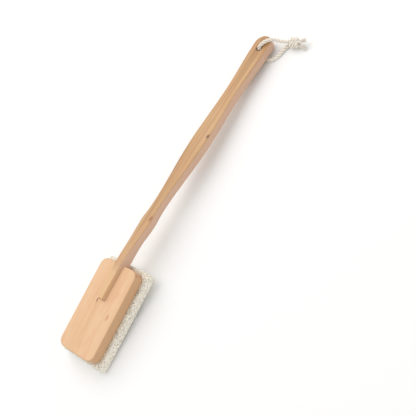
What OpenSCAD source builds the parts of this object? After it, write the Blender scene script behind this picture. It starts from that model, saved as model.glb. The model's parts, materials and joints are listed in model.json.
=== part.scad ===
// Long-handled body scrubber. A porous scrubbing slab is glued under a
// wooden backing board. The handle's tapered tongue slides into an open
// dovetail groove in the board's back, and a knotted cotton cord runs
// through the hole at the handle's far end.
//
// The scrubber lies at rest on z = 0, slab down. It touches the floor with
// the slab's far edge and with the cord that passes under the handle.
// +X runs from the head to the handle's tip, +Y across, +Z up.

/* [Scrubbing slab] */
// Length of the slab
pad_l = 113; // [100:1:125]
// Width of the slab
pad_w = 65; // [58:1:75]
// Thickness of the slab
pad_t = 11.5; // [8:0.5:15]
// Corner radius of the slab
pad_corner = 4; // [2:0.5:8]
// Thickness of the glue layer
glue_t = 0.4; // [0.3:0.1:0.6]

/* [Backing board] */
// Length of the board
board_l = 105; // [95:1:110]
// Width of the board
board_w = 55; // [50:1:60]
// Thickness of the board
board_t = 13; // [11:0.5:15]
// Corner radius of the board
board_corner = 9; // [5:0.5:12]

/* [Dovetail joint] */
// Length of the tongue inside the groove
tongue_l = 41; // [30:1:46]
// Width of the tongue across its foot
tongue_w = 14.2; // [12:0.2:16]
// Height of the tongue above the board's back
tongue_proud = 4.6; // [3:0.2:6]
// Slope of the dovetail's sides from upright
dovetail_angle = 15; // [10:1:18]
// Gap beyond the tongue's end
groove_spare = 1.2; // [1:0.1:2]
// Sliding clearance on each side of the tongue
slide_gap = 0.2; // [0.15:0.05:0.3]

/* [Handle] */
// Length of the handle outside the board
handle_l = 310; // [280:5:340]
// Thickness of the handle
handle_t = 10.5; // [9:0.5:12]
// Lean of the handle towards the slab's side
handle_lean = 8; // [5:0.5:10]
// Radius of the handle's round end
tip_r = 11.2; // [10:0.2:12]
// Distance from the tip to the middle of the hang hole
hole_in = 18; // [14:1:20]
// Diameter of the hang hole
hole_d = 8; // [7:0.5:9]

/* [Cord] */
// Diameter of the cord
cord_d = 4.5; // [4:0.1:5]
// Length of the knot
knot_l = 14; // [12:0.5:16]
// Greatest radius of the knot
knot_r = 6.4; // [5:0.1:7]
// Length of each loose tail
tail_l = 11; // [8:1:14]

/* [Hidden] */
$fn = 48;

wood_light = [0.91, 0.77, 0.60];
wood_tan = [0.80, 0.62, 0.40];
slab_cream = [0.93, 0.91, 0.86];
glue_grey = [0.82, 0.80, 0.74];
cotton = [0.90, 0.86, 0.80];

overcut = 1;

// Half widths of the handle's plan, each at its distance from the board's end.
// They are its narrowest and widest places, and the outline turns there.
tip_centre = handle_l - tip_r;
blank_half_w = 8;
handle_stations = [
    [0, blank_half_w], [28, 6.4], [51, 7.9], [74, 6.2],
    [161, 10.8], [229, 8.6], [tip_centre, tip_r]
];
outline_step = 6;
arc_step = 10;
// The dovetail's sides also spread towards the handle, so the tongue wedges
// tight in its groove, and the same two planes run out along the neck.
dovetail_taper = 1.4;

// Heights in the head's own frame, where z = 0 is the board's underside.
tongue_foot_z = board_t + tongue_proud - handle_t;
slab_low_z = -glue_t - pad_t;

// At rest the cord passes under the handle just below the hang hole.
cord_room = 5;
hole_s = handle_l - hole_in;
under_dx = board_l / 2 + hole_s * cos(handle_lean)
    - handle_t * sin(handle_lean) + pad_l / 2;
under_dz = board_t + tongue_proud - hole_s * sin(handle_lean)
    - handle_t * cos(handle_lean) - slab_low_z;
rest_tilt = asin(cord_room / norm([under_dx, under_dz])) - atan2(under_dz, under_dx);

// The middle of the whole length at rest, measured from the slab's far edge.
tip_dx = board_l / 2 + handle_l * cos(handle_lean) + pad_l / 2;
tip_dz = board_t + tongue_proud - handle_l * sin(handle_lean) - slab_low_z;
tip_x = tip_dx * cos(rest_tilt) - tip_dz * sin(rest_tilt);
far_x = -pad_t * sin(rest_tilt);
mid_x = (tip_x + far_x) / 2;

// The cord's two strands, from the middle of the hang hole to the knot.
upper_route = [
    [189.8, 0.6, 10.2], [189.9, 0.5, 12.9], [190.6, -0.1, 15.5],
    [192.4, -1.4, 17.3], [195.2, -3.3, 18.1], [198.4, -5.6, 18.1],
    [201.2, -8.2, 17.5], [203.6, -11.2, 16.1], [205.3, -14.2, 13.8],
    [206.4, -17.4, 11.6], [207.4, -20.7, 10], [208.5, -24.2, 9],
    [209.6, -28.5, 8.7]
];
lower_route = [
    [189.8, 0.6, 10.2], [189.4, 0.4, 7.6], [188.6, -0.6, 5.2],
    [187.4, -2.6, 3.3], [186, -5.4, 2.4], [185.3, -8.8, 2.3],
    [185.5, -12.4, 2.3], [187.1, -15.8, 2.3], [190.2, -18.4, 2.3],
    [194.4, -20.3, 2.3], [198.9, -21.7, 2.4], [203.2, -23.4, 2.6],
    [206.9, -25.4, 3.1], [209.2, -28.6, 3.9]
];
knot_middle = [210.6, -34, 6.5];
knot_turn = 6;
tail_a_start = [212, -39.4, 8.9];
tail_a_end = [216.8, -48.4, 7.4];
tail_b_start = [210.4, -39.8, 4.1];
tail_b_end = [209, -50.2, 3.1];
tail_flare = 0.7;
tube_sides = 10;

function unit(v) = v / norm(v);

function tangent(route, i) =
    unit(route[min(i + 1, len(route) - 1)] - route[max(i - 1, 0)]);

// A direction across the route that turns as little as it can from ring to ring.
function across(route, i) = i == 0
    ? unit(cross(tangent(route, 0), [0, 1, 0]))
    : let (before = across(route, i - 1), ahead = tangent(route, i))
        unit(before - (before * ahead) * ahead);

function ring(route, i, r) =
    let (u = across(route, i), v = cross(tangent(route, i), u))
    [for (k = [0:tube_sides - 1])
        route[i] + r * (cos(360 * k / tube_sides) * u + sin(360 * k / tube_sides) * v)];

// Half width of the handle at a distance from the board's end.
function half_width(s, i = 0) = s > handle_stations[i + 1][0]
    ? half_width(s, i + 1)
    : let (a = handle_stations[i], b = handle_stations[i + 1])
        a[1] + (b[1] - a[1]) * (1 - cos(180 * (s - a[0]) / (b[0] - a[0]))) / 2;

// Lays the head's own frame down into the resting position.
module at_rest() {
    translate([-mid_x, 0, 0]) rotate([0, -rest_tilt, 0])
        translate([pad_l / 2, 0, -slab_low_z]) children();
}

module rounded_plate(l, w, t, r) {
    for (x = [-1, 1], y = [-1, 1])
        translate([x * (l / 2 - r), y * (w / 2 - r), 0]) cylinder(h = t, r = r);
    translate([-l / 2 + r, -w / 2, 0]) cube([l - 2 * r, w, t]);
    translate([-l / 2, -w / 2 + r, 0]) cube([l, w - 2 * r, t]);
}

// Everything beyond the dovetail's two sloping sides, each moved out by a gap.
module beyond_dovetail(gap) {
    side_gap = gap / cos(dovetail_angle);
    for (side = [0, 1]) mirror([0, side, 0])
        translate([board_l / 2, tongue_w / 2 + side_gap, tongue_foot_z])
            rotate([dovetail_angle, 0, 0]) rotate([0, 0, dovetail_taper])
                translate([-board_l, 0, -board_l]) cube([4 * board_l, board_w, 2 * board_l]);
}

module groove() {
    groove_l = tongue_l + groove_spare;
    difference() {
        translate([board_l / 2 - groove_l, -board_w / 4, tongue_foot_z - slide_gap])
            cube([groove_l + overcut, board_w / 2, board_t]);
        beyond_dovetail(slide_gap);
    }
}

module head_board() {
    color(wood_light) at_rest() difference() {
        rounded_plate(board_l, board_w, board_t, board_corner);
        groove();
    }
}

module scrub_pad() {
    color(slab_cream) at_rest() translate([0, 0, slab_low_z])
        rounded_plate(pad_l, pad_w, pad_t, pad_corner);
}

module glue_layer() {
    inset = 1;
    color(glue_grey) at_rest() translate([0, 0, -glue_t])
        rounded_plate(board_l - 2 * inset, board_w - 2 * inset, glue_t, board_corner - inset);
}

// A place on the handle's bar, seen from the side: s along it, h above its underside.
function bar_point(s, h) = [
    board_l / 2 + s * cos(handle_lean) - (handle_t - h) * sin(handle_lean),
    board_t + tongue_proud - s * sin(handle_lean) - (handle_t - h) * cos(handle_lean)
];

// The tongue and the leaning bar seen from the side, as one bent strip.
module handle_side() {
    tongue_end = board_l / 2 - tongue_l;
    past_tip = handle_l + overcut;
    rotate([90, 0, 0]) linear_extrude(height = board_w, center = true) polygon([
        [tongue_end, tongue_foot_z], bar_point(handle_t * tan(handle_lean / 2), 0),
        bar_point(past_tip, 0), bar_point(past_tip, handle_t),
        bar_point(0, handle_t), [tongue_end, tongue_foot_z + handle_t]
    ]);
}

// The handle in plan, from behind the tongue's end to the round tip.
module handle_plan() {
    steps = ceil(tip_centre / outline_step);
    flank = concat(
        [[-2 * tongue_l, blank_half_w]],
        [for (i = [0:steps]) let (s = tip_centre * i / steps) [s, half_width(s)]],
        [for (a = [90 - arc_step:-arc_step:arc_step])
            [tip_centre + tip_r * cos(a), tip_r * sin(a)]]
    );
    mirrored = [for (i = [len(flank) - 1:-1:0]) [flank[i][0], -flank[i][1]]];
    polygon(concat(flank, [[handle_l, 0]], mirrored));
}

module handle() {
    color(wood_tan) at_rest() difference() {
        intersection() {
            handle_side();
            bar_frame() translate([0, 0, -handle_t])
                linear_extrude(height = 3 * handle_t) handle_plan();
        }
        beyond_dovetail(0);
        bar_frame() translate([hole_s, 0, -overcut])
            cylinder(h = handle_t + 2 * overcut, d = hole_d);
    }
}

// The leaning bar's frame: X along it from the board's end, z = 0 on its underside.
module bar_frame() {
    translate([board_l / 2, 0, board_t + tongue_proud])
        rotate([0, handle_lean, 0]) translate([0, 0, -handle_t]) children();
}

module strand(route) {
    n = tube_sides;
    last = len(route) - 1;
    points = [for (i = [0:last]) each ring(route, i, cord_d / 2)];
    walls = [for (i = [0:last - 1], k = [0:n - 1])
        [i * n + k, (i + 1) * n + k, (i + 1) * n + (k + 1) % n, i * n + (k + 1) % n]];
    near_end = [for (k = [0:n - 1]) k];
    far_end = [for (k = [n - 1:-1:0]) last * n + k];
    color(cotton) polyhedron(points = points, faces = concat([near_end], walls, [far_end]));
}

module cord_upper() {
    strand(upper_route);
}

module cord_lower() {
    strand(lower_route);
}

module cord_knot() {
    bulge = 0.6;
    profile = [for (a = [-90:15:90])
        [knot_r * pow(max(cos(a), 0), bulge), knot_l / 2 * sin(a)]];
    color(cotton) translate(knot_middle) rotate([90, 0, knot_turn])
        rotate_extrude() polygon(profile);
}

// A tail that opens out towards its frayed end.
module tail(from, to) {
    reach = to - from;
    color(cotton) translate(from)
        rotate([0, acos(reach[2] / norm(reach)), atan2(reach[1], reach[0])])
            cylinder(h = tail_l, r1 = cord_d / 2, r2 = cord_d / 2 + tail_flare);
}

module cord_tail_a() {
    tail(tail_a_start, tail_a_end);
}

module cord_tail_b() {
    tail(tail_b_start, tail_b_end);
}

head_board();
scrub_pad();
glue_layer();
handle();
cord_upper();
cord_lower();
cord_knot();
cord_tail_a();
cord_tail_b();
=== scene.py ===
"""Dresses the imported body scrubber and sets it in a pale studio.

The scrubber is a wooden board with a porous slab glued under it, a waisted
wooden handle whose dovetail tongue slides into the board, and a twisted
cotton cord knotted through the hole at the handle's end.
"""

import json
import logging
import math
import random
from contextlib import contextmanager
from dataclasses import dataclass, field
from enum import Enum
from typing import Callable, Iterator, Optional, Sequence

import bmesh
import bpy
import numpy as np
from mathutils import Matrix, Vector, noise


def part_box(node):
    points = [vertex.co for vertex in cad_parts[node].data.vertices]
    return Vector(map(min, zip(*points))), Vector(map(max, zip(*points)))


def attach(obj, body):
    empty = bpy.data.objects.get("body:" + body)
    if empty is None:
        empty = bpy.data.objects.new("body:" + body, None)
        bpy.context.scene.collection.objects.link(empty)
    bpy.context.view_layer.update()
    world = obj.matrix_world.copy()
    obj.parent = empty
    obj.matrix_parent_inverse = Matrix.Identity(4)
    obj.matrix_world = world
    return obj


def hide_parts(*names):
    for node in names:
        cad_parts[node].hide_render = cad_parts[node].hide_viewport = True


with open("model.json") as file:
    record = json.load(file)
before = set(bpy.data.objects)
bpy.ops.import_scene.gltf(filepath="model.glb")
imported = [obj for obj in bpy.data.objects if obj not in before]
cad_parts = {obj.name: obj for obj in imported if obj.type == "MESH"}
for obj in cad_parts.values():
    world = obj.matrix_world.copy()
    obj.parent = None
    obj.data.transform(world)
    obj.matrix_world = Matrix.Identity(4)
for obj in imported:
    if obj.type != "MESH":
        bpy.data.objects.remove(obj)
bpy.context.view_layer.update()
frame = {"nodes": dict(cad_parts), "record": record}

LOG = logging.getLogger("scrubber")
MM = 0.001
HAIR = 1e-6

Colour = tuple[float, float, float, float]


# ---------------------------------------------------------------- bench tools


class Select(Enum):
    """What an edit works on."""

    VERTS = "VERT"
    EDGES = "EDGE"
    FACES = "FACE"


def clear_selection() -> None:
    """Leaves edit mode and deselects everything, so an operator acts on its own piece."""
    active = bpy.context.view_layer.objects.active
    if active is not None and active.mode != "OBJECT":
        bpy.ops.object.mode_set(mode="OBJECT")
    bpy.ops.object.select_all(action="DESELECT")


def hold(piece: bpy.types.Object) -> None:
    """Makes one piece the only selected and active object.

    Args:
        piece: The object to work on.
    """
    clear_selection()
    piece.select_set(True)
    bpy.context.view_layer.objects.active = piece


def name_new(name: str) -> bpy.types.Object:
    """Names the object that an operator has just added.

    Args:
        name: The piece's name.

    Returns:
        The new object.
    """
    piece = bpy.context.view_layer.objects.active
    piece.name = name
    piece.data.name = name
    return piece


def start_block(name: str, middle: Sequence[float], size: Sequence[float]) -> bpy.types.Object:
    """Adds the plain block that a piece is shaped from.

    Args:
        name: The piece's name.
        middle: Where its middle lies.
        size: Its three sides.

    Returns:
        The block, with its size and place in its mesh.
    """
    clear_selection()
    bpy.ops.mesh.primitive_cube_add(size=1, location=middle)
    block = name_new(name)
    block.scale = size
    bpy.ops.object.transform_apply(location=True, scale=True)
    return block


@contextmanager
def editing(piece: bpy.types.Object, kind: Select = Select.VERTS,
            wanted: Callable[..., bool] = lambda *place: True) -> Iterator[None]:
    """Opens a piece in edit mode with chosen elements selected, and closes it after.

    Args:
        piece: The mesh object.
        kind: Whether the test is for vertices, edges or faces.
        wanted: The test. It takes a vertex's place, an edge's two places,
            or a face's centre and normal. Without it, all is selected.

    Returns:
        The context, with nothing in it.
    """
    hold(piece)
    bpy.ops.object.mode_set(mode="EDIT")
    bpy.ops.mesh.select_mode(type=kind.value)
    bpy.ops.mesh.select_all(action="DESELECT")
    bpy.ops.object.mode_set(mode="OBJECT")
    mesh = piece.data
    if kind is Select.VERTS:
        for vert in mesh.vertices:
            vert.select = wanted(vert.co)
    elif kind is Select.EDGES:
        for edge in mesh.edges:
            edge.select = wanted(*(mesh.vertices[i].co for i in edge.vertices))
    else:
        for face in mesh.polygons:
            face.select = wanted(face.center, face.normal)
    bpy.ops.object.mode_set(mode="EDIT")
    yield
    bpy.ops.object.mode_set(mode="OBJECT")


def apply_all(piece: bpy.types.Object) -> None:
    """Applies every modifier on a piece, in order.

    Args:
        piece: The object.
    """
    hold(piece)
    for modifier in list(piece.modifiers):
        bpy.ops.object.modifier_apply(modifier=modifier.name)


def set_down(piece: bpy.types.Object, place: Matrix) -> None:
    """Moves a piece's mesh to its place and leaves the object at the origin.

    Args:
        piece: The object, modelled in a frame of its own.
        place: That frame in the row frame.
    """
    hold(piece)
    piece.matrix_world = place @ piece.matrix_world
    bpy.ops.object.transform_apply(location=True, rotation=True, scale=True)


def shade(piece: bpy.types.Object, angle_deg: float = 32.0) -> None:
    """Shades a piece smooth except over edges sharper than an angle in degrees."""
    hold(piece)
    bpy.ops.object.shade_smooth_by_angle(angle=math.radians(angle_deg))


def flatten_shading(piece: bpy.types.Object) -> None:
    """Weights a piece's normals by face area, so that its flat faces look flat.

    Args:
        piece: The object, already shaded smooth by angle.
    """
    weighted = piece.modifiers.new("flat faces", "WEIGHTED_NORMAL")
    weighted.keep_sharp = True
    weighted.weight = 90
    apply_all(piece)


def tidy_skin(piece: bpy.types.Object, merge: float = 1e-6) -> None:
    """Merges doubled vertices and turns every face outwards.

    Args:
        piece: The mesh object.
        merge: How near two vertices are merged, in metres.
    """
    with editing(piece):
        bpy.ops.mesh.remove_doubles(threshold=merge)
        bpy.ops.mesh.dissolve_degenerate(threshold=merge)
        bpy.ops.mesh.normals_make_consistent(inside=False)


def carve(piece: bpy.types.Object, cutter: bpy.types.Object) -> None:
    """Cuts one solid out of another and throws the cutter away.

    Args:
        piece: The solid that is cut.
        cutter: The solid that is taken out of it.
    """
    cut = piece.modifiers.new("cut", "BOOLEAN")
    cut.operation = "DIFFERENCE"
    cut.solver = "EXACT"
    cut.object = cutter
    apply_all(piece)
    bpy.data.objects.remove(cutter, do_unlink=True)


def new_mesh(name: str, points: np.ndarray, faces: Sequence[Sequence[int]]) -> bpy.types.Object:
    """Makes a mesh object from points and faces.

    Args:
        name: The piece's name.
        points: The vertices, one row each, in metres.
        faces: The vertex numbers of each face.

    Returns:
        The new object, linked to the scene.
    """
    mesh = bpy.data.meshes.new(name)
    mesh.from_pydata([tuple(p) for p in points], [], [tuple(f) for f in faces])
    mesh.update()
    piece = bpy.data.objects.new(name, mesh)
    bpy.context.scene.collection.objects.link(piece)
    return piece


def mark(piece: bpy.types.Object, name: str, values: np.ndarray) -> None:
    """Stores one number for each vertex, for a material to read."""
    layer = piece.data.attributes.new(name, "FLOAT", "POINT")
    layer.data.foreach_set("value", np.asarray(values, np.float32))


def outward_ways(piece: bpy.types.Object) -> np.ndarray:
    """The way that each vertex of a mesh faces, one row a vertex."""
    ways = np.zeros(3 * len(piece.data.vertices), np.float32)
    piece.data.vertex_normals.foreach_get("vector", ways)
    return ways.reshape(-1, 3)


def mark_sides(piece: bpy.types.Object) -> None:
    """Marks how far each vertex faces sideways, for a wood finish to read: the board's finish
    paints shade there, the handle's gives its sides a paler tone.

    Args:
        piece: The mesh object, still level in a frame of its own.
    """
    up = np.abs(outward_ways(piece)[:, 2])
    share = np.clip((0.9 - up) / 0.5, 0.0, 1.0)
    mark(piece, "side", share * share * (3 - 2 * share))


# -------------------------------------------------------------------- finishes


class Nodes:
    """A short way to add and link a material's nodes."""

    def __init__(self, name: str) -> None:
        """Starts a material with a principled shader and Object coordinates.

        Args:
            name: The material's name.
        """
        self.material = bpy.data.materials.new(name)
        self.material.use_nodes = True
        self.tree = self.material.node_tree
        self.shader = self.tree.nodes["Principled BSDF"]
        self.coords = self.add("ShaderNodeTexCoord").outputs["Object"]

    def add(self, kind: str, settings: Optional[dict] = None, **inputs: object) -> bpy.types.Node:
        """Adds a node.

        Args:
            kind: The node's type.
            settings: Properties of the node itself.
            inputs: Values or sockets for its inputs, by name with _ for a space.

        Returns:
            The node.
        """
        node = self.tree.nodes.new(kind)
        for key, value in (settings or {}).items():
            setattr(node, key, value)
        for key, value in inputs.items():
            self.put(node.inputs[key.replace("_", " ")], value)
        return node

    def put(self, socket: bpy.types.NodeSocket, value: object) -> None:
        """Links a socket to an input, or sets the input's value.

        Args:
            socket: The input.
            value: An output socket or a plain value.
        """
        if isinstance(value, bpy.types.NodeSocket):
            self.tree.links.new(value, socket)
        else:
            socket.default_value = value

    def marked(self, name: str) -> bpy.types.NodeSocket:
        """The number that a mesh attribute holds at each place."""
        return self.add("ShaderNodeAttribute", {"attribute_name": name}).outputs["Fac"]

    def dress(self, **inputs: object) -> bpy.types.Material:
        """Sets or links the shader's inputs and hands over the material.

        Args:
            inputs: Values or sockets by the input's name, with _ for a space.

        Returns:
            The finished material.
        """
        for key, value in inputs.items():
            self.put(self.shader.inputs[key.replace("_", " ")], value)
        return self.material

    def stretched(self, scale: Sequence[float], turn: float,
                  where: Optional[bpy.types.NodeSocket] = None) -> bpy.types.NodeSocket:
        """Coordinates turned about Y and then scaled on each axis.

        Args:
            scale: Pattern units a metre along X, Y and Z.
            turn: The turn about Y, in radians.
            where: The coordinates, or the object's own.

        Returns:
            The coordinate socket.
        """
        turned = self.add("ShaderNodeMapping", Vector=where or self.coords,
                          Rotation=(0.0, turn, 0.0))
        scaled = self.add("ShaderNodeMapping", Vector=turned.outputs[0], Scale=tuple(scale))
        return scaled.outputs[0]

    def noise(self, where: bpy.types.NodeSocket, scale: float, detail: float = 3.0,
              rough: float = 0.55) -> bpy.types.NodeSocket:
        """A noise pattern, with layers of finer noise and how strong those are."""
        return self.add("ShaderNodeTexNoise", Vector=where, Scale=scale, Detail=detail,
                        Roughness=rough).outputs["Fac"]

    def ramp(self, value: bpy.types.NodeSocket,
             stops: Sequence[tuple[float, Colour]]) -> bpy.types.NodeSocket:
        """A colour ramp.

        Args:
            value: The number that picks the colour.
            stops: Each stop's place and colour.

        Returns:
            The colour socket.
        """
        node = self.add("ShaderNodeValToRGB", Fac=value)
        band = node.color_ramp
        while len(band.elements) < len(stops):
            band.elements.new(0.5)
        for element, (place, colour) in zip(band.elements, stops):
            element.position = place
            element.color = colour
        return node.outputs["Color"]

    def span(self, value: bpy.types.NodeSocket, low: float, high: float,
             to_low: float = 0.0, to_high: float = 1.0) -> bpy.types.NodeSocket:
        """Maps low to high on to to_low to to_high, clamped at both ends."""
        return self.add("ShaderNodeMapRange", Value=value, From_Min=low, From_Max=high,
                        To_Min=to_low, To_Max=to_high).outputs["Result"]

    def maths(self, kind: str, a: object, b: object) -> bpy.types.NodeSocket:
        """Arithmetic on two numbers.

        Args:
            kind: The operation.
            a: The first number or socket.
            b: The second number or socket.

        Returns:
            The result's socket.
        """
        node = self.add("ShaderNodeMath", {"operation": kind})
        self.put(node.inputs[0], a)
        self.put(node.inputs[1], b)
        return node.outputs[0]

    def blend(self, kind: str, share: object, a: object, b: object) -> bpy.types.NodeSocket:
        """Mixes two colours.

        Args:
            kind: The blend type.
            share: How much of the second is used.
            a: The first colour or socket.
            b: The second colour or socket.

        Returns:
            The mixed colour's socket.
        """
        node = self.add("ShaderNodeMix", {"data_type": "RGBA", "blend_type": kind})
        self.put(node.inputs[0], share)
        self.put(node.inputs[6], a)
        self.put(node.inputs[7], b)
        return node.outputs[2]

    def relief(self, height: bpy.types.NodeSocket, depth: float,
               under: Optional[bpy.types.NodeSocket] = None) -> bpy.types.NodeSocket:
        """A bump from a height pattern.

        Args:
            height: The height, 0 to 1.
            depth: The depth of the whole range, in metres.
            under: The normal of a coarser bump, if there is one.

        Returns:
            The normal's socket.
        """
        node = self.add("ShaderNodeBump", Height=height, Distance=depth, Strength=1.0)
        if under is not None:
            self.put(node.inputs["Normal"], under)
        return node.outputs["Normal"]


@dataclass(frozen=True)
class Spot:
    """A mark in wood, such as a pin-knot, a stain, a streak or a patch of painted shadow."""

    place: tuple[float, float, float]
    length: float
    width: float
    colour: Colour
    strength: float = 0.9


@dataclass(frozen=True)
class WoodFinish:
    """Sanded wood with a thin satin seal, its grain along X."""

    name: str
    pale: Colour
    middle: Colour
    dark: Colour
    # side: colour of sideways faces; on the board it is painted shade, darker than the wood
    side: Colour
    sanded: Colour
    spots: tuple[Spot, ...] = ()
    rosy: Colour = (0.74, 0.41, 0.235, 1.0)
    flushed: float = 0.5
    ring_spread: float = 330.0
    ring_contrast: float = 0.5
    roughness: float = 0.42

    def stain_and_shadow_spot(self, kit: Nodes, wood: bpy.types.NodeSocket, spot: Spot,
                turn: float) -> bpy.types.NodeSocket:
        """Adds one mark to the wood's colour.

        Args:
            kit: The material.
            wood: The colour so far.
            spot: The mark.
            turn: The grain's turn about Y, in radians.

        Returns:
            The colour with the mark in it.
        """
        away = kit.add("ShaderNodeVectorMath", {"operation": "SUBTRACT"})
        kit.put(away.inputs[0], kit.coords)
        kit.put(away.inputs[1], spot.place)
        reach = kit.add("ShaderNodeVectorMath", {"operation": "LENGTH"})
        kit.put(reach.inputs[0], kit.stretched(
            (2 / spot.length, 2 / spot.width, 2 / spot.width), turn, away.outputs[0]))
        ragged = kit.noise(kit.stretched((400.0, 1400.0, 1400.0), turn), 1.0, 2.0)
        edge = kit.maths("ADD", reach.outputs["Value"], kit.span(ragged, 0.3, 0.7, -0.35, 0.35))
        share = kit.span(edge, 0.35, 1.05, spot.strength, 0.0)
        return kit.blend("MIX", share, wood, spot.colour)

    def make(self, turn: float) -> bpy.types.Material:
        """Builds the material.

        Args:
            turn: The grain's turn about Y, in radians.

        Returns:
            The material.
        """
        kit = Nodes(self.name)
        broad = kit.noise(kit.stretched((7.0, 90.0, 70.0), turn), 1.0, 4.0)
        rings = kit.noise(kit.stretched((5.0, self.ring_spread, self.ring_spread), turn),
                          1.0, 5.0, 0.6)
        fibres = kit.noise(kit.stretched((90.0, 3600.0, 3600.0), turn), 1.0, 3.0, 0.7)
        figure = kit.maths("ADD", kit.maths("MULTIPLY", rings, self.ring_contrast),
                           kit.maths("MULTIPLY", broad, 1.0 - self.ring_contrast))
        wood = kit.ramp(figure, [(0.38, self.dark), (0.5, self.middle), (0.62, self.pale)])
        flush = kit.noise(kit.stretched((35.0, 85.0, 85.0), turn), 1.0, 3.0)
        wood = kit.blend("MIX", kit.span(flush, 0.5, 0.68, 0.0, self.flushed), wood, self.rosy)
        # Sideways faces take the side colour: painted shade on the board, the handle's own paler,
        # pinker tone
        side = kit.marked("side")
        tint = kit.blend("MIX", 0.25, self.side, wood)
        wood = kit.blend("MIX", side, wood, tint)
        sanded = kit.marked("sanded")
        wood = kit.blend("MIX", kit.maths("MULTIPLY", sanded, 0.9), wood, self.sanded)
        streaks = kit.span(fibres, 0.35, 0.72, 0.0, 0.35)
        wood = kit.blend("MULTIPLY", streaks, wood, (0.74, 0.60, 0.46, 1.0))
        for spot in self.spots:
            wood = self.stain_and_shadow_spot(kit, wood, spot, turn)
        satin = kit.span(fibres, 0.3, 0.7, self.roughness - 0.05, self.roughness + 0.09)
        return kit.dress(Base_Color=wood, Roughness=satin, Normal=kit.relief(fibres, 0.06 * MM),
                         Coat_Weight=0.08, Coat_Roughness=0.35)


@dataclass(frozen=True)
class SlabFinish:
    """Dry porous cream material, with painted shade in its pores, and more speckled where it is
    sawn.
    """

    name: str = "porous cream"
    face: Colour = (0.99, 0.95, 0.84, 1.0)
    warm: Colour = (0.99, 0.93, 0.81, 1.0)
    # pit: painted shade at the bottom of the pores; the dark specks use the same colour
    pit: Colour = (0.20, 0.155, 0.105, 1.0)

    def make(self) -> bpy.types.Material:
        """Builds the material.

        Returns:
            The material.
        """
        kit = Nodes(self.name)
        patches = kit.noise(kit.coords, 70.0, 3.0)
        grains = kit.noise(kit.coords, 900.0, 3.0, 0.65)
        body = kit.ramp(patches, [(0.35, self.face), (0.65, self.warm)])
        body = kit.blend("MULTIPLY", kit.span(grains, 0.42, 0.72, 0.0, 0.35), body,
                         (0.80, 0.76, 0.68, 1.0))
        pores = kit.marked("pore")
        specks = kit.add("ShaderNodeTexVoronoi", Vector=kit.coords, Scale=700.0)
        luck = kit.add("ShaderNodeSeparateColor", Color=specks.outputs["Color"])
        sawn = kit.marked("sawn")
        odds = kit.maths("ADD", luck.outputs[0], kit.span(sawn, 0.0, 1.0, 0.0, 0.32))
        dots = kit.maths("MULTIPLY", kit.span(specks.outputs["Distance"], 0.2, 0.42, 0.9, 0.0),
                         kit.span(odds, 0.58, 0.66))
        body = kit.blend("MIX", dots, body, self.pit)
        crumbs = kit.noise(kit.coords, 560.0, 2.0, 0.7)
        dusty = kit.maths("MULTIPLY", sawn, kit.span(crumbs, 0.5, 0.64, 0.0, 0.5))
        body = kit.blend("MULTIPLY", dusty, body, (0.62, 0.56, 0.47, 1.0))
        # painted shade in the pores, deeper pores darker
        body = kit.blend("MIX", kit.span(pores, 0.22, 0.8, 0.0, 0.95), body, self.pit)
        holes = kit.add("ShaderNodeTexVoronoi", Vector=kit.coords, Scale=1100.0)
        coarse = kit.relief(kit.span(holes.outputs["Distance"], 0.05, 0.5), 0.3 * MM)
        return kit.dress(Base_Color=body, Roughness=0.95, Specular_IOR_Level=0.25,
                         Normal=kit.relief(grains, 0.25 * MM, coarse))


@dataclass(frozen=True)
class GlueFinish:
    """Dried amber glue, darkened to paint the shade in the gap between the board and the slab."""

    name: str = "dried glue"
    # body: glue colour darkened as painted shade for the gap between board and slab
    body: Colour = (0.42, 0.26, 0.13, 1.0)

    def make(self) -> bpy.types.Material:
        """Builds the material.

        Returns:
            The material.
        """
        kit = Nodes(self.name)
        cloud = kit.noise(kit.coords, 260.0, 3.0)
        tint = kit.ramp(cloud, [(0.3, self.body), (0.7, (0.56, 0.40, 0.24, 1.0))])
        return kit.dress(Base_Color=tint, Roughness=kit.span(cloud, 0.3, 0.7, 0.35, 0.55),
                         Normal=kit.relief(cloud, 0.2 * MM))


@dataclass(frozen=True)
class CottonFinish:
    """Soft natural cotton, with painted shade in the grooves between its strands."""

    name: str = "natural cotton"
    twisted: bool = True
    face: Colour = (0.93, 0.87, 0.78, 1.0)
    # groove: painted shade between the strands
    groove: Colour = (0.55, 0.46, 0.36, 1.0)

    def make(self) -> bpy.types.Material:
        """Builds the material.

        Returns:
            The material.
        """
        kit = Nodes(self.name)
        fluff = kit.noise(kit.coords, 1500.0, 4.0, 0.7)
        dirt = kit.noise(kit.coords, 130.0, 2.0)
        body = kit.blend("MULTIPLY", kit.span(fluff, 0.4, 0.75, 0.0, 0.35), self.face,
                         (0.80, 0.74, 0.64, 1.0))
        body = kit.blend("MULTIPLY", kit.span(dirt, 0.45, 0.8, 0.0, 0.4), body,
                         (0.86, 0.80, 0.70, 1.0))
        depth = kit.marked("groove")
        # painted shade in the grooves, by their depth
        body = kit.blend("MIX", kit.span(depth, 0.45, 1.0, 0.0, 0.85), body, self.groove)
        kit.dress(Base_Color=body, Roughness=0.92, Specular_IOR_Level=0.2, Sheen_Weight=0.25,
                  Sheen_Roughness=0.6)
        if not self.twisted:
            return kit.material
        yarns = kit.add("ShaderNodeTexWave", {"wave_type": "BANDS", "bands_direction": "DIAGONAL"},
                        Vector=kit.add("ShaderNodeUVMap", {"uv_map": "lay"}).outputs[0],
                        Scale=1.0, Distortion=0.0, Detail=0.0)
        ply = kit.relief(yarns.outputs["Fac"], 0.12 * MM)
        return kit.dress(Normal=kit.relief(fluff, 0.2 * MM, ply))


# ------------------------------------------------------------------------ head


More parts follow.
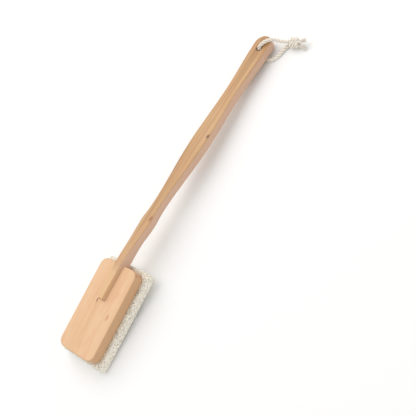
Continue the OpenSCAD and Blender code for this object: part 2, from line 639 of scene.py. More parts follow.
@dataclass
class HeadPlace:
    """Where the head lies: X along it, z = 0 on the board's underside."""

    slab_t: float = 11.5 * MM
    glue_t: float = 0.4 * MM

    def matrix(self) -> Matrix:
        """The head's own frame in the row frame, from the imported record.

        Returns:
            The frame as a matrix.
        """
        along = Vector(frame["record"]["behaviour"]["joints"][0]["axis"]).normalized()
        face = next(m for m in frame["record"]["mounts"] if m["name"] == "scrub_face")
        up = -Vector(face["axis"]).normalized()
        across = up.cross(along)
        middle = Vector(face["pos_m"]) + up * (self.slab_t + self.glue_t)
        turn = Matrix((along, across, up)).transposed().to_4x4()
        return Matrix.Translation(middle) @ turn

    def tilt(self) -> float:
        """The head's tilt above level, in radians."""
        along = frame["record"]["behaviour"]["joints"][0]["axis"]
        return math.atan2(along[2], along[0])


@dataclass
class Dovetail:
    """The tapered sliding dovetail that the tongue and its groove share."""

    board_l: float = 105 * MM
    board_t: float = 13 * MM
    tongue_l: float = 41 * MM
    foot_w: float = 14.2 * MM
    proud: float = 4.6 * MM
    handle_t: float = 10.5 * MM
    side_angle: float = math.radians(15)
    taper: float = math.radians(1.4)
    spare: float = 1.2 * MM
    gap: float = 0.2 * MM

    @property
    def foot_z(self) -> float:
        """Height of the tongue's foot above the board's underside."""
        return self.board_t + self.proud - self.handle_t

    def half_width(self, x: float, z: float) -> float:
        """Half the dovetail's width at a place along the head and a height on it."""
        spread = math.tan(self.taper) * (x - self.board_l / 2)
        return self.foot_w / 2 + spread - math.tan(self.side_angle) * (z - self.foot_z)

    def trim(self, solid: bpy.types.Object, outward: float = 0.0) -> None:
        """Cuts a solid off outside the dovetail's two sloping sides.

        Args:
            solid: The solid, in the head's frame.
            outward: How far outside the dovetail's sides the cuts lie, across it.
        """
        x = self.board_l / 2
        for side in (1, -1):
            with editing(solid):
                bpy.ops.mesh.bisect(
                    plane_co=(x, side * (self.half_width(x, self.foot_z) + outward), self.foot_z),
                    plane_no=(-math.tan(self.taper), side, math.tan(self.side_angle)),
                    use_fill=True, clear_outer=True, threshold=HAIR / 10)


@dataclass
class Board:
    """The wooden backing board with the groove in its back."""

    joint: Dovetail
    width: float = 55 * MM
    corner: float = 9 * MM
    eased: float = 1.5 * MM
    eased_below: float = 0.9 * MM
    groove_over: float = 4 * MM
    lip: float = 0.35 * MM

    def block(self) -> bpy.types.Object:
        """The plain board with round corners and eased rims.

        Returns:
            The board's solid, in the head's frame.
        """
        length, thick = self.joint.board_l, self.joint.board_t
        board = start_block("board", (0, 0, thick / 2), (length, self.width, thick))
        with editing(board, Select.EDGES, lambda a, b: abs(a.z - b.z) > thick / 2):
            bpy.ops.mesh.bevel(offset=self.corner, segments=14, affect="EDGES")
        for level, ease in ((thick, self.eased), (0.0, self.eased_below)):
            with editing(board, Select.EDGES,
                         lambda a, b: max(abs(a.z - level), abs(b.z - level)) < HAIR):
                bpy.ops.mesh.bevel(offset=ease, segments=5, affect="EDGES")
        return board

    def groove(self) -> bpy.types.Object:
        """The groove's space, a block trimmed to the dovetail's sloping sides.

        Returns:
            The cutter, in the head's frame.
        """
        joint, over = self.joint, self.groove_over
        low_z, high_z = joint.foot_z - joint.gap, joint.board_t + over
        start = joint.board_l / 2 - joint.tongue_l - joint.spare
        length = joint.tongue_l + joint.spare + over
        cutter = start_block("groove_cutter", (start + length / 2, 0, (low_z + high_z) / 2),
                             (length, 3 * joint.foot_w, high_z - low_z))
        joint.trim(cutter, joint.gap / math.cos(joint.side_angle))
        return cutter

    def make(self, place: Matrix, wood: bpy.types.Material) -> bpy.types.Object:
        """Builds, cuts and dresses the board.

        Args:
            place: The head's frame.
            wood: The board's material.

        Returns:
            The finished board.
        """
        board = self.block()
        carve(board, self.groove())
        tidy_skin(board)
        lip = board.modifiers.new("worn groove lips", "BEVEL")
        lip.width = self.lip
        lip.segments = 3
        lip.limit_method = "ANGLE"
        lip.angle_limit = math.radians(50)
        apply_all(board)
        mark_sides(board)
        shade(board)
        flatten_shading(board)
        set_down(board, place)
        board.data.materials.append(wood)
        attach(board, "head")
        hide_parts("head_board")
        return board


@dataclass
class Slab:
    """The porous scrubbing slab under the board."""

    length: float = 113 * MM
    width: float = 65 * MM
    thick: float = 11.5 * MM
    glue_t: float = 0.4 * MM
    corner: float = 4 * MM
    rim: float = 2.2 * MM
    grain: float = 0.47 * MM
    pore_cell: float = 2.3 * MM
    pore_depth: float = 1.3 * MM
    sway: float = 0.3 * MM
    slow_sway: float = 16 * MM
    fine_sway: float = 1.5 * MM

    def block(self) -> bpy.types.Object:
        """The slab before its pores: a block with soft rims, meshed evenly.

        Returns:
            The slab's solid, in the head's frame.
        """
        slab = start_block("slab", (0, 0, -self.glue_t - self.thick / 2),
                           (self.length, self.width, self.thick))
        with editing(slab, Select.EDGES, lambda a, b: abs(a.z - b.z) > self.thick / 2):
            bpy.ops.mesh.bevel(offset=self.corner, segments=8, affect="EDGES")
        with editing(slab, Select.EDGES, lambda a, b: abs(a.z - b.z) < HAIR):
            bpy.ops.mesh.bevel(offset=self.rim, segments=5, affect="EDGES")
        even = slab.modifiers.new("even mesh", "REMESH")
        even.mode = "VOXEL"
        even.voxel_size = self.grain
        apply_all(slab)
        return slab

    def pore(self, point: Vector) -> float:
        """How deep the pore at a place is, from 0 on the face to 1 at the deepest.

        Args:
            point: The place, in the head's frame.

        Returns:
            The share of the full depth.
        """
        deepest = 0.0
        for cell, share, floor in ((self.pore_cell, 1.0, -0.1), (self.pore_cell * 0.6, 0.8, -0.2)):
            away, seeds = noise.voronoi(point / cell)
            luck = noise.cell(seeds[0] * 17.3)
            if luck < floor:
                continue
            luck = (luck - floor) / (1 - floor)
            radius = 0.20 + 0.26 * luck
            inside = max(0.0, 1.0 - away[0] / radius)
            deepest = max(deepest, share * (0.4 + 0.6 * luck) * inside * inside * (3 - 2 * inside))
        return deepest

    def roughen(self, slab: bpy.types.Object) -> None:
        """Sinks the pores and the slab's slow unevenness into its skin.

        Args:
            slab: The evenly meshed block.
        """
        mesh = slab.data
        count = len(mesh.vertices)
        places = np.zeros(3 * count, np.float32)
        mesh.vertices.foreach_get("co", places)
        places, outward = places.reshape(-1, 3), outward_ways(slab)
        depths, sunk = np.zeros(count), np.zeros(count)
        for index, place in enumerate(places):
            point = Vector(place)
            depths[index] = self.pore(point)
            slow = 0.5 + 0.5 * noise.noise(point / self.slow_sway)
            fine = 0.5 + 0.5 * noise.noise(point / self.fine_sway)
            sunk[index] = self.pore_depth * depths[index] + self.sway * (0.55 * slow + 0.45 * fine)
        moved = places - outward * sunk[:, None]
        mesh.vertices.foreach_set("co", moved.astype(np.float32).ravel())
        mesh.update()
        # the slab's finish paints shade into the pores by this depth
        mark(slab, "pore", depths)

    def mark_sawn(self, slab: bpy.types.Object) -> None:
        """Marks all but the scrubbing face, which is less pitted than the sawn sides.

        Args:
            slab: The slab, still level in the head's frame.
        """
        mark(slab, "sawn", np.clip((outward_ways(slab)[:, 2] + 0.9) / 0.4, 0.0, 1.0))

    def make(self, place: Matrix, finish: bpy.types.Material) -> bpy.types.Object:
        """Builds and dresses the slab.

        Args:
            place: The head's frame.
            finish: The slab's material.

        Returns:
            The finished slab.
        """
        slab = self.block()
        self.mark_sawn(slab)
        self.roughen(slab)
        shade(slab, 60.0)
        set_down(slab, place)
        slab.data.materials.append(finish)
        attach(slab, "head")
        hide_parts("scrub_pad")
        return slab


# ---------------------------------------------------------------------- handle


@dataclass
class Handle:
    """The waisted wooden handle, with its tongue and its hang hole."""

    joint: Dovetail
    length: float = 310 * MM
    lean: float = math.radians(8)
    tip_r: float = 11.2 * MM
    hole_in: float = 18 * MM
    hole_r: float = 4 * MM
    hole_lip: float = 0.9 * MM
    blank_half: float = 8 * MM
    eased: float = 1.9 * MM
    tongue_eased: float = 0.5 * MM
    out_of_square: float = 0.9 * MM
    row_step: float = 4 * MM
    sharp: float = math.radians(40)
    neck_end: float = 62 * MM
    fade: float = 12 * MM
    easing_run: float = 30 * MM
    arc_steps: int = 14
    waists: list[tuple[float, float]] = field(default_factory=lambda: [
        (0.0, 8.0), (28.0, 6.4), (51.0, 7.9), (74.0, 6.2), (161.0, 10.8), (229.0, 8.6)])

    @property
    def tip_centre(self) -> float:
        """Distance from the board's end to the middle of the round tip."""
        return self.length - self.tip_r

    def half_width(self, s: float) -> float:
        """Half the handle's width in plan.

        Args:
            s: Distance from the board's end.

        Returns:
            Half the width there.
        """
        if s <= 0:
            return self.blank_half
        stops = [(a * MM, w * MM) for a, w in self.waists] + [(self.tip_centre, self.tip_r)]
        for (a, wa), (b, wb) in zip(stops, stops[1:]):
            if s <= b:
                return wa + (wb - wa) * (1 - math.cos(math.pi * (s - a) / (b - a))) / 2
        return self.tip_r

    def outline(self) -> list[tuple[float, float]]:
        """The bar's plan from the board's end to the tip.

        Returns:
            Each step's distance from the board's end and half width.
        """
        rows = math.ceil(self.tip_centre / self.row_step)
        steps = [self.tip_centre * i / rows for i in range(1, rows + 1)]
        plan = [(s, self.half_width(s)) for s in steps]
        for i in range(1, self.arc_steps):
            angle = math.pi / 2 * (1 - i / self.arc_steps)
            plan.append((self.tip_centre + self.tip_r * math.cos(angle),
                         self.tip_r * math.sin(angle)))
        last = math.radians(1.5)
        plan.append((self.length, self.tip_r * math.sin(last)))
        return plan

    def bar_place(self) -> Matrix:
        """The leaning bar's frame in the head's frame, z = 0 on its underside.

        Returns:
            The frame as a matrix.
        """
        joint = self.joint
        corner = Vector((joint.board_l / 2, 0, joint.board_t + joint.proud))
        lean = Matrix.Rotation(self.lean, 4, "Y")
        return Matrix.Translation(corner) @ lean @ Matrix.Translation((0, 0, -joint.handle_t))

    def blank(self) -> bpy.types.Object:
        """The straight bar, tongue and all, drawn out step by step in plan.

        Returns:
            The solid, with its back at z = 0 and the board's end at x = 0.
        """
        tongue, thick = self.joint.tongue_l, self.joint.handle_t
        bar = start_block("handle_bar", (-(tongue + self.fade) / 2, 0, -thick / 2),
                          (tongue - self.fade, 2 * self.blank_half, thick))
        reach, half = -self.fade, self.blank_half
        with editing(bar, Select.FACES, lambda centre, normal: normal.x > 0.9):
            for s, half_w in [(0.0, half)] + self.outline():
                bpy.ops.mesh.extrude_region_move(
                    TRANSFORM_OT_translate={"value": (s - reach, 0, 0)})
                bpy.ops.transform.resize(value=(1, half_w / half, 1), center_override=(0, 0, 0))
                reach, half = s, half_w
        return bar

    def narrow(self, bar: bpy.types.Object) -> None:
        """Draws the tongue's and neck's sides in to the dovetail's slope, and skews its end.

        Args:
            bar: The straight bar.
        """
        joint, thick = self.joint, self.joint.handle_t
        place = self.bar_place()
        rings = [(s, self.blank_half) for s in (-joint.tongue_l, -self.fade, 0.0)]
        rings += [(s, half_w) for s, half_w in self.outline() if s < self.neck_end]
        for s, half_w in rings:
            for height in (0.0, thick):
                x, z = joint.board_l / 2 + s, joint.foot_z + height
                if s > 0:
                    x, _, z = place @ Vector((s, 0, height))
                share = joint.half_width(x, z) / half_w
                if share >= 1:
                    continue
                with editing(bar, Select.VERTS, lambda p: abs(p.x - s) < HAIR
                             and abs(p.z + thick - height) < HAIR):
                    bpy.ops.transform.resize(value=(1, share, 1), center_override=(0, 0, 0))
        with editing(bar, Select.VERTS, lambda p: p.x < HAIR - joint.tongue_l and p.y < 0):
            bpy.ops.transform.translate(value=(-self.out_of_square, 0, 0))

    def lean_over(self, bar: bpy.types.Object) -> None:
        """Leans the bar down past the board's end, with a mitre at the bend.

        Args:
            bar: The straight bar.
        """
        thick = self.joint.handle_t
        with editing(bar, Select.VERTS, lambda p: abs(p.x) < HAIR and p.z < -thick / 2):
            bpy.ops.transform.translate(value=(thick * math.tan(self.lean / 2), 0, 0))
        with editing(bar, Select.VERTS, lambda p: p.x > -HAIR):
            bpy.ops.transform.rotate(value=-self.lean, orient_axis="Y", center_override=(0, 0, 0))

    def ease_edges(self, bar: bpy.types.Object) -> None:
        """Rounds the long edges, lightly on the tongue and fully along the bar.

        Args:
            bar: The bar in the head's frame.
        """
        shape = bmesh.new()
        shape.from_mesh(bar.data)
        weights = shape.edges.layers.float.new("bevel_weight_edge")
        for edge in shape.edges:
            if edge.calc_face_angle(0.0) > self.sharp:
                middle = (edge.verts[0].co.x + edge.verts[1].co.x) / 2
                past = min(max((middle - self.joint.board_l / 2) / self.easing_run, 0.0), 1.0)
                ease = self.tongue_eased + (self.eased - self.tongue_eased) * past
                edge[weights] = ease / self.eased
        shape.to_mesh(bar.data)
        shape.free()
        eased = bar.modifiers.new("eased edges", "BEVEL")
        eased.width = self.eased
        eased.segments = 5
        eased.limit_method = "WEIGHT"
        eased.use_clamp_overlap = False
        eased.loop_slide = False
        apply_all(bar)

    def shape(self) -> bpy.types.Object:
        """The whole handle before it is drilled.

        Returns:
            The solid, in the head's frame.
        """
        joint = self.joint
        bar = self.blank()
        self.narrow(bar)
        self.lean_over(bar)
        set_down(bar, Matrix.Translation((joint.board_l / 2, 0, joint.board_t + joint.proud)))
        tidy_skin(bar)
        self.ease_edges(bar)
        tidy_skin(bar)
        return bar

    def hole(self) -> bpy.types.Object:
        """The hang hole's space, flared at both mouths.

        Returns:
            The cutter, in the head's frame.
        """
        lip, thick, steps = self.hole_lip, self.joint.handle_t, 6
        mouth = [(lip * (1 - math.sin(math.pi / 2 * i / steps)),
                  lip * (1 - math.cos(math.pi / 2 * i / steps))) for i in range(steps + 1)]
        profile = [(-1 * MM, self.hole_r + lip)]
        profile += [(height - 0.02 * MM, self.hole_r + out) for out, height in mouth]
        profile += [(thick - height, radius) for height, radius in reversed(profile)]
        clear_selection()
        bpy.ops.mesh.primitive_circle_add(vertices=56, radius=profile[0][1],
                                          location=(0, 0, profile[0][0]), fill_type="NGON")
        cutter = name_new("hole_cutter")
        bpy.ops.object.transform_apply(location=True)
        with editing(cutter):
            for (low, wide), (high, next_wide) in zip(profile, profile[1:]):
                bpy.ops.mesh.extrude_region_move(
                    TRANSFORM_OT_translate={"value": (0, 0, high - low)})
                bpy.ops.transform.resize(value=(next_wide / wide, next_wide / wide, 1))
        tidy_skin(cutter)
        middle = Matrix.Translation((self.length - self.hole_in, 0, 0))
        set_down(cutter, self.bar_place() @ middle)
        return cutter

    def mark_sanded(self, handle: bpy.types.Object) -> None:
        """Marks the tongue's back, which was sanded pale together with the board.

        Args:
            handle: The handle, in the head's frame.
        """
        joint = self.joint
        start, end = joint.board_l / 2, joint.board_l / 2 - self.fade
        shares = []
        for vert in handle.data.vertices:
            along = min(max((start - vert.co.x) / (start - end), 0.0), 1.0)
            top = joint.board_t + joint.proud - self.tongue_eased
            shares.append(along if vert.co.z >= top else 0.0)
        mark(handle, "sanded", np.array(shares))

    def make(self, place: Matrix, wood: bpy.types.Material) -> bpy.types.Object:
        """Builds, drills and dresses the handle.

        Args:
            place: The head's frame.
            wood: The handle's material.

        Returns:
            The finished handle.
        """
        handle = self.shape()
        carve(handle, self.hole())
        tidy_skin(handle)
        mark_sides(handle)
        self.mark_sanded(handle)
        shade(handle, 36.0)
        flatten_shading(handle)
        set_down(handle, place)
        handle.data.materials.append(wood)
        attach(handle, "handle")
        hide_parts("handle")
        return handle


# ------------------------------------------------------------------------ cord


def smooth_line(points: Sequence[Sequence[float]], step: float) -> np.ndarray:
    """A smooth curve through points, as evenly spaced places.

    Args:
        points: The places that the curve passes through, in metres.
        step: The spacing of the result, in metres.

    Returns:
        The places, one row each.
    """
    p = np.asarray(points, float)
    p = np.vstack([2 * p[0] - p[1], p, 2 * p[-1] - p[-2]])
    fine = []
    for a, b, c, d in zip(p, p[1:], p[2:], p[3:]):
        for t in np.linspace(0, 1, 24, endpoint=False):
            fine.append(0.5 * (2 * b + (c - a) * t + (2 * a - 5 * b + 4 * c - d) * t ** 2
                               + (3 * b - a - 3 * c + d) * t ** 3))
    fine = np.vstack([fine, p[-2]])
    run = run_along(fine)
    even = np.linspace(0, run[-1], max(2, round(run[-1] / step) + 1))
    return np.stack([np.interp(even, run, fine[:, k]) for k in range(3)], axis=1)


def run_along(line: np.ndarray) -> np.ndarray:
    """How far along a line each of its places lies, in metres."""
    return np.r_[0, np.cumsum(np.linalg.norm(np.diff(line, axis=0), axis=1))]


def tube_faces(rings: int, sides: int, first: int = 0) -> list[tuple[int, ...]]:
    """The faces of a tube that is closed at both ends.

    Args:
        rings: How many rings of vertices it has.
        sides: The vertices in a ring.
        first: The number of its first vertex.

    Returns:
        The vertex numbers of each face: the sides ring by ring, then the ends.
    """
    low = [[first + ring * sides + k for k in range(sides)] for ring in range(rings)]
    faces = [(a[k], a[(k + 1) % sides], b[(k + 1) % sides], b[k])
             for a, b in zip(low, low[1:]) for k in range(sides)]
    return faces + [tuple(reversed(low[0])), tuple(low[-1])]


def frames_along(line: np.ndarray) -> tuple[np.ndarray, np.ndarray]:
    """Two directions across a line at each place, with no twist of their own.

    Args:
        line: The places.

    Returns:
        The two directions, one row a place each.
    """
    ahead = np.gradient(line, axis=0)
    ahead /= np.linalg.norm(ahead, axis=1, keepdims=True)
    first = np.cross(ahead[0], (0.0, 1.0, 0.0))
    if np.linalg.norm(first) < 0.2:
        first = np.cross(ahead[0], (0.0, 0.0, 1.0))
    sides = [first / np.linalg.norm(first)]
    for t in ahead[1:]:
        side = sides[-1] - t * (sides[-1] @ t)
        sides.append(side / np.linalg.norm(side))
    sides = np.array(sides)
    return sides, np.cross(ahead, sides)


@dataclass(frozen=True)
class Rope:
    """Three-strand twisted rope."""

    radius: float = 2.25 * MM
    lay: float = 13 * MM
    strands: int = 3
    sides: int = 54
    step: float = 0.4 * MM
    deepest: float = 0.52
    yarns: int = 9
    band: float = 2 * math.pi / 10

    def outline(self, angle: np.ndarray) -> np.ndarray:
        """How far the rope's surface lies from its middle, as a share of its radius.

        Args:
            angle: Angles round the rope, from the middle of a strand.

        Returns:
            The share at each angle.
        """
        wedge = 2 * math.pi / self.strands
        near = np.abs((angle + wedge / 2) % wedge - wedge / 2)
        offset, strand = 0.505, 0.495
        reach = offset * np.cos(near) + np.sqrt(
            np.maximum(strand ** 2 - (offset * np.sin(near)) ** 2, 0.0))
        return np.maximum(reach, self.deepest)

    def make(self, name: str, line: np.ndarray, phase: float = 0.0,
             size: Optional[Callable[[float], float]] = None) -> bpy.types.Object:
        """Builds the rope along a line.

        Args:
            name: The piece's name.
            line: Places along the rope's middle.
            phase: The turn of the strands at the start.
            size: The rope's size at a share of its length, 1 for its own.

        Returns:
            The rope's closed mesh.
        """
        u, v = frames_along(line)
        run = run_along(line)
        around = np.arange(self.sides) * 2 * math.pi / self.sides
        points, grooves = [], []
        for i, middle in enumerate(line):
            twist = phase + 2 * math.pi * run[i] / self.lay
            share = self.outline(around - twist)
            grown = self.radius * (size(run[i] / run[-1]) if size else 1.0)
            reach = (grown * share)[:, None]
            points.append(middle + reach * (np.outer(np.cos(around), u[i])
                                            + np.outer(np.sin(around), v[i])))
            grooves.append((1 - share) / (1 - self.deepest))
        n = self.sides
        rope = new_mesh(name, np.vstack(points), tube_faces(len(line), n))
        # the cotton finish paints shade into the grooves by this depth
        mark(rope, "groove", np.concatenate(grooves))
        layer = rope.data.uv_layers.new(name="lay")
        yarns = self.yarns * self.band
        for face in rope.data.polygons:
            last_column = face.loop_total == 4 and face.index % n == n - 1
            for loop in face.loop_indices:
                row, k = divmod(rope.data.loops[loop].vertex_index, n)
                round_it = n if last_column and k == 0 else k
                layer.data[loop].uv = (run[row] / self.lay * yarns, round_it / n * yarns)
        rope.data.shade_smooth()
        return rope


@dataclass(frozen=True)
class Tuft:
    """A bundle of loose cotton threads at a cut end."""

    threads: int = 110
    thread_r: float = 0.13 * MM
    spread: float = 2.0 * MM
    rings: int = 7
    sides: int = 5
    core_r: float = 1.8 * MM
    swirl: float = 0.9
    curl: float = 0.5 * MM
    off_floor: float = 0.25 * MM

    def make(self, name: str, root: Vector, ahead: Vector, length: float,
             seed: int) -> bpy.types.Object:
        """Builds the tuft.

        Args:
            name: The piece's name.
            root: Where the threads leave the rope.
            ahead: The way that they point.
            length: The longest thread.
            seed: The seed for their scatter.

        Returns:
            One mesh of all the threads.
        """
        draw = random.Random(seed)
        ahead = ahead.normalized()
        u = ahead.cross(Vector((0, 0, 1))).normalized()
        v = ahead.cross(u)
        points, faces = [], []
        for _ in range(self.threads):
            angle = draw.uniform(0, 2 * math.pi)
            start = math.sqrt(draw.random()) * self.core_r
            flare = start + draw.uniform(0.0, self.spread) * draw.random()
            reach = length * draw.uniform(0.55, 1.0)
            swirl = draw.uniform(-self.swirl, self.swirl)
            curl = draw.uniform(-self.curl, self.curl)
            radial = lambda a: math.cos(a) * u + math.sin(a) * v
            base = len(points)
            for ring in range(self.rings):
                t = ring / (self.rings - 1)
                away = start + (flare - start) * t ** 1.6
                middle = (root + ahead * (reach * t) + radial(angle + swirl * t) * away
                          + v * (curl * math.sin(3.1 * t)))
                middle.z = max(middle.z, self.off_floor)
                thick = self.thread_r * (1.0 - 0.55 * t)
                for k in range(self.sides):
                    turn = 2 * math.pi * k / self.sides
                    points.append(middle + thick * (math.cos(turn) * u + math.sin(turn) * v))
            faces += tube_faces(self.rings, self.sides, base)
        tuft = new_mesh(name, np.array([tuple(p) for p in points]), faces)
        mark(tuft, "groove", np.zeros(len(points)))
        tuft.data.uv_layers.new(name="lay")
        tidy_skin(tuft, 1e-9)
        tuft.data.shade_smooth()
        return tuft


@dataclass
class HangCord:
    """The cord through the hang hole, tied in one knot past the handle's tip."""

    rope: Rope = field(default_factory=Rope)
    upper: list[tuple[float, float, float]] = field(default_factory=lambda: [
        (189.8, 0.6, 10.2), (189.9, 0.5, 12.9), (190.6, -0.1, 15.5),
        (192.4, -1.4, 17.3), (195.2, -3.3, 18.1), (198.4, -5.6, 18.1),
        (201.2, -8.2, 17.5), (203.6, -11.2, 16.1), (205.3, -14.2, 13.8),
        (206.4, -17.4, 11.6), (207.4, -20.7, 10.0), (208.5, -24.2, 9.0),
        (209.6, -28.5, 8.7)])
    lower: list[tuple[float, float, float]] = field(default_factory=lambda: [
        (189.8, 0.6, 10.2), (189.4, 0.4, 7.6), (188.6, -0.6, 5.2),
        (187.4, -2.6, 3.3), (186.0, -5.4, 2.4), (185.3, -8.8, 2.3),
        (185.5, -12.4, 2.3), (187.1, -15.8, 2.3), (190.2, -18.4, 2.3),
        (194.4, -20.3, 2.3), (198.9, -21.7, 2.4), (203.2, -23.4, 2.6),
        (206.9, -25.4, 3.1), (209.2, -28.6, 3.9)])
    tail_a: tuple[tuple[float, float, float], ...] = (
        (212.0, -39.4, 8.9), (214.4, -43.9, 8.2), (216.8, -48.4, 7.4))
    tail_b: tuple[tuple[float, float, float], ...] = (
        (210.4, -39.8, 4.1), (209.7, -45.0, 3.6), (209.0, -50.2, 3.1))
    rope_share_of_tail: float = 0.5

    def knot_place(self) -> Matrix:
        """The knot's frame: X along the cord's way through it, Z up.

        Returns:
            The frame as a matrix, from the knot's CAD node.
        """
        low, high = (Vector(corner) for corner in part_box("cord_knot"))
        middle = (low + high) / 2
        way = Vector(self.tail_a[0]) + Vector(self.tail_b[0])
        way -= Vector(self.upper[-1]) + Vector(self.lower[-1])
        turn = math.atan2(way.y, way.x)
        return Matrix.Translation(middle) @ Matrix.Rotation(turn, 4, "Z")

    def wrap_line(self) -> np.ndarray:
        """The line of the turns that the cord takes round itself in the knot.

        Returns:
            Evenly spaced places in the row frame.
        """
        turns, high, wide, run = 2.9, 4.3 * MM, 4.1 * MM, 9.8 * MM
        steps = 90
        place = self.knot_place()
        points = []
        for i in range(steps + 1):
            t = i / steps
            angle = 2 * math.pi * turns * (t - 0.5) + math.pi / 2
            tuck = min(1.0, 9.0 * min(t, 1 - t) + 0.45)
            along = run * (t - 0.5) + 1.5 * MM * math.sin(angle)
            points.append(place @ Vector((along, wide * tuck * math.cos(angle),
                                          high * tuck * math.sin(angle))))
        return smooth_line(points, self.rope.step)

    def strand(self, name: str, route: Sequence[Sequence[float]], phase: float) -> tuple:
        """One strand from the hole to the knot, and its line, from a route in millimetres."""
        line = smooth_line(np.array(route) * MM, self.rope.step)
        return self.rope.make(name, line, phase), line

    def tail(self, name: str, route: Sequence[Sequence[float]], seed: int) -> list:
        """One loose end past the knot: a little rope, then a frayed tuft.

        Args:
            name: The start of the pieces' names.
            route: The places that it follows, in millimetres.
            seed: The seed for the tuft.

        Returns:
            The rope end and the tuft.
        """
        line = smooth_line(np.array(route) * MM, self.rope.step)
        cut = max(4, round(len(line) * self.rope_share_of_tail))
        end = self.rope.make(f"{name}_end", line[:cut], 0.4, lambda t: 0.92 + 0.06 * t)
        root, ahead = Vector(line[cut - 3]), Vector(line[-1] - line[cut - 3])
        tuft = Tuft().make(f"{name}_fray", root, ahead, ahead.length * 1.02, seed)
        return [end, tuft]

    def make(self, cotton: bpy.types.Material,
             threads: bpy.types.Material) -> list[bpy.types.Object]:
        """Args:
            cotton: The twisted rope's material.
            threads: The frayed threads' material.

        Returns:
            All its pieces.
        """
        upper, upper_line = self.strand("cord_upper_rope", self.upper, 0.0)
        lower, lower_line = self.strand("cord_lower_rope", self.lower, math.pi)
        wrap = self.rope.make("knot_turns", self.wrap_line(), 0.8)
        core, core_b = (
            self.rope.make(name, smooth_line([Vector(start) * MM, self.knot_place().translation,
                                              Vector(end) * MM], self.rope.step), phase)
            for name, start, end, phase in (
                ("knot_core", self.upper[-1], self.tail_b[0], 0.2),
                ("knot_core_low", self.lower[-1], self.tail_a[0], 1.2)))
        tail_a = self.tail("tail_a", self.tail_a, 11)
        tail_b = self.tail("tail_b", self.tail_b, 23)
        pieces = [upper, lower, wrap, core, core_b, *tail_a, *tail_b]
        for piece in pieces:
            loose = piece in (tail_a[1], tail_b[1])
            piece.data.materials.append(threads if loose else cotton)
            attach(piece, "handle")
        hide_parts("cord_upper")
        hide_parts("cord_lower")
        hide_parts("cord_knot")
        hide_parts("cord_tail_a")
        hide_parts("cord_tail_b")
        return pieces


# ---------------------------------------------------------------------- studio


@dataclass
class Studio:
    """A pale floor, soft lights and the camera."""

    azimuth: float = -14.4
    elevation: float = 50.1
    roll: float = 49.0
    distance: float = 0.8335
    aim: tuple[float, float, float] = (-0.0033, -0.0477, 0.01)
    lens: float = 67.6
    sensor: float = 36.0
    floor_side: float = 8.0
    floor_colour: Colour = (0.93, 0.93, 0.925, 1.0)
    sky: float = 0.74

    def camera(self) -> None:
        """Adds the camera and makes it the scene's own."""
        az, el = math.radians(self.azimuth), math.radians(self.elevation)
        way = Vector((-math.sin(az) * math.cos(el), math.cos(az) * math.cos(el), -math.sin(el)))
        data = bpy.data.cameras.new("camera")
        data.lens = self.lens
        data.sensor_width = self.sensor
        camera = bpy.data.objects.new("camera", data)
        bpy.context.scene.collection.objects.link(camera)
        level = way.to_track_quat("-Z", "Y").to_matrix().to_4x4()
        rolled = level @ Matrix.Rotation(math.radians(-self.roll), 4, "Z")
        camera.matrix_world = Matrix.Translation(Vector(self.aim) - way * self.distance) @ rolled
        bpy.context.scene.camera = camera

    def lamp(self, name: str, place: Sequence[float], size: float, power: float,
             tint: Sequence[float] = (1.0, 1.0, 1.0)) -> None:
        """Adds a soft area light that faces the object.

        Args:
            name: The light's name.
            place: Where it stands, in metres.
            size: The side of its square, in metres.
            power: Its power, in watts.
            tint: Its colour.
        """
        data = bpy.data.lights.new(name, "AREA")
        data.size = size
        data.energy = power
        data.color = tuple(tint)
        light = bpy.data.objects.new(name, data)
        bpy.context.scene.collection.objects.link(light)
        light.location = place
        light.rotation_euler = (-Vector(place)).to_track_quat("-Z", "Y").to_euler()

    def floor(self) -> None:
        """Adds the floor, a plain pale sheet."""
        clear_selection()
        bpy.ops.mesh.primitive_plane_add(size=self.floor_side)
        floor = name_new("floor")
        floor.data.materials.append(Nodes("pale floor").dress(
            Base_Color=self.floor_colour, Roughness=0.8, Specular_IOR_Level=0.2))

    def light(self) -> None:
        """Adds the sky and the lamps."""
        world = bpy.data.worlds.new("soft sky")
        bpy.context.scene.world = world
        world.use_nodes = True
        sky = world.node_tree.nodes["Background"]
        sky.inputs["Color"].default_value = (1.0, 1.0, 1.0, 1.0)
        sky.inputs["Strength"].default_value = self.sky
        self.lamp("key", (0.35, 0.9, 1.5), 2.0, 19.0, (1.0, 0.985, 0.96))
        self.lamp("fill", (0.2, -1.6, 0.9), 1.4, 2.5, (0.96, 0.98, 1.0))

    def colours(self) -> None:
        """Shows colours as they are, with no film curve over them."""
        bpy.context.scene.view_settings.view_transform = "Standard"

    def make(self) -> None:
        """Builds the whole studio."""
        self.colours()
        self.camera()
        self.floor()
        self.light()


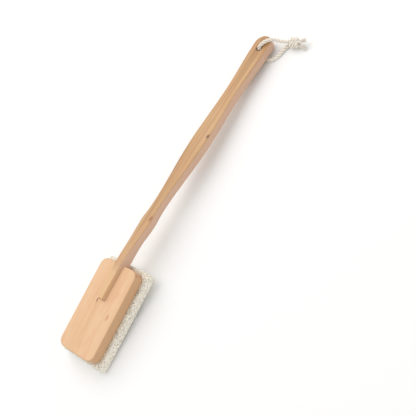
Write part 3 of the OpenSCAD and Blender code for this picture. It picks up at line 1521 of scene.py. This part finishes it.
HANDLE_SPOTS = (
    Spot((-0.0430, -0.0046, 0.0325), 9.0 * MM, 5.0 * MM, (0.30, 0.09, 0.03, 1.0), 0.75),
    Spot((0.0679, -0.0086, 0.0244), 6.5 * MM, 4.0 * MM, (0.13, 0.05, 0.02, 1.0), 0.95),
)
BOARD_SPOTS = (
    Spot((-0.1563, -0.0185, 0.0284), 10.0 * MM, 3.6 * MM, (0.55, 0.22, 0.09, 1.0), 0.7),
    Spot((-0.1024, -0.0262, 0.0295), 8.0 * MM, 4.5 * MM, (0.38, 0.15, 0.08, 1.0), 0.8),
    # painted shadow: the dark slit of the groove's run-out past the tongue's end
    Spot((-0.1452, 0.0056, 0.0292), 6.0 * MM, 1.8 * MM, (0.10, 0.035, 0.012, 1.0), 0.95),
    # painted shade: this one and the next lie low on the board's far end, where it meets the slab
    Spot((-0.0995, -0.0255, 0.0228), 9.0 * MM, 5.5 * MM, (0.26, 0.11, 0.06, 1.0), 0.85),
    Spot((-0.0980, -0.0170, 0.0232), 4.0 * MM, 6.5 * MM, (0.26, 0.13, 0.07, 1.0), 0.8),
    # painted shadow at the groove's mouth under the handle's neck
    Spot((-0.0978, -0.0100, 0.0262), 3.5 * MM, 4.0 * MM, (0.10, 0.05, 0.03, 1.0), 0.9),
    # painted shade low on the board's far end, where it meets the slab
    Spot((-0.0985, 0.0225, 0.0236), 4.0 * MM, 8.0 * MM, (0.30, 0.18, 0.10, 1.0), 0.8),
)


def main() -> None:
    """Builds every piece in order and reports each one."""
    logging.basicConfig(level=logging.INFO, format="%(name)s: %(message)s")
    Studio().make()
    LOG.info("studio ready")
    cotton = CottonFinish().make()
    threads = CottonFinish("loose cotton", twisted=False).make()
    for piece in HangCord().make(cotton, threads):
        LOG.info("cord piece %s", piece.name)
    spot = HeadPlace()
    place = spot.matrix()
    joint = Dovetail()
    board_wood = WoodFinish(
        "board wood", pale=(0.80, 0.535, 0.32, 1.0), middle=(0.78, 0.50, 0.285, 1.0),
        # The board's darker side colour is painted shade on its side faces
        dark=(0.74, 0.455, 0.25, 1.0), side=(0.58, 0.335, 0.17, 1.0),
        sanded=(0.76, 0.49, 0.27, 1.0), ring_contrast=0.35, spots=BOARD_SPOTS)
    handle_wood = WoodFinish(
        "handle wood", pale=(0.65, 0.41, 0.215, 1.0), middle=(0.53, 0.30, 0.125, 1.0),
        dark=(0.35, 0.17, 0.058, 1.0), side=(0.72, 0.48, 0.36, 1.0),
        sanded=(0.76, 0.49, 0.26, 1.0), flushed=0.3,
        rosy=(0.60, 0.31, 0.16, 1.0), spots=HANDLE_SPOTS)
    tilt = spot.tilt()
    handle = Handle(joint)
    board = Board(joint).make(place, board_wood.make(tilt))
    LOG.info("board %s", board.name)
    slab = Slab().make(place, SlabFinish().make())
    LOG.info("slab %s, %d faces", slab.name, len(slab.data.polygons))
    bar = handle.make(place, handle_wood.make(tilt - handle.lean))
    LOG.info("handle %s", bar.name)
    glue = frame["nodes"]["glue_layer"]
    glue.data.materials.clear()
    # the glue's dark colour is partly painted shade for the gap between board and slab
    glue.data.materials.append(GlueFinish().make())
    LOG.info("glue %s", glue.name)


if __name__ == "__main__":
    main()
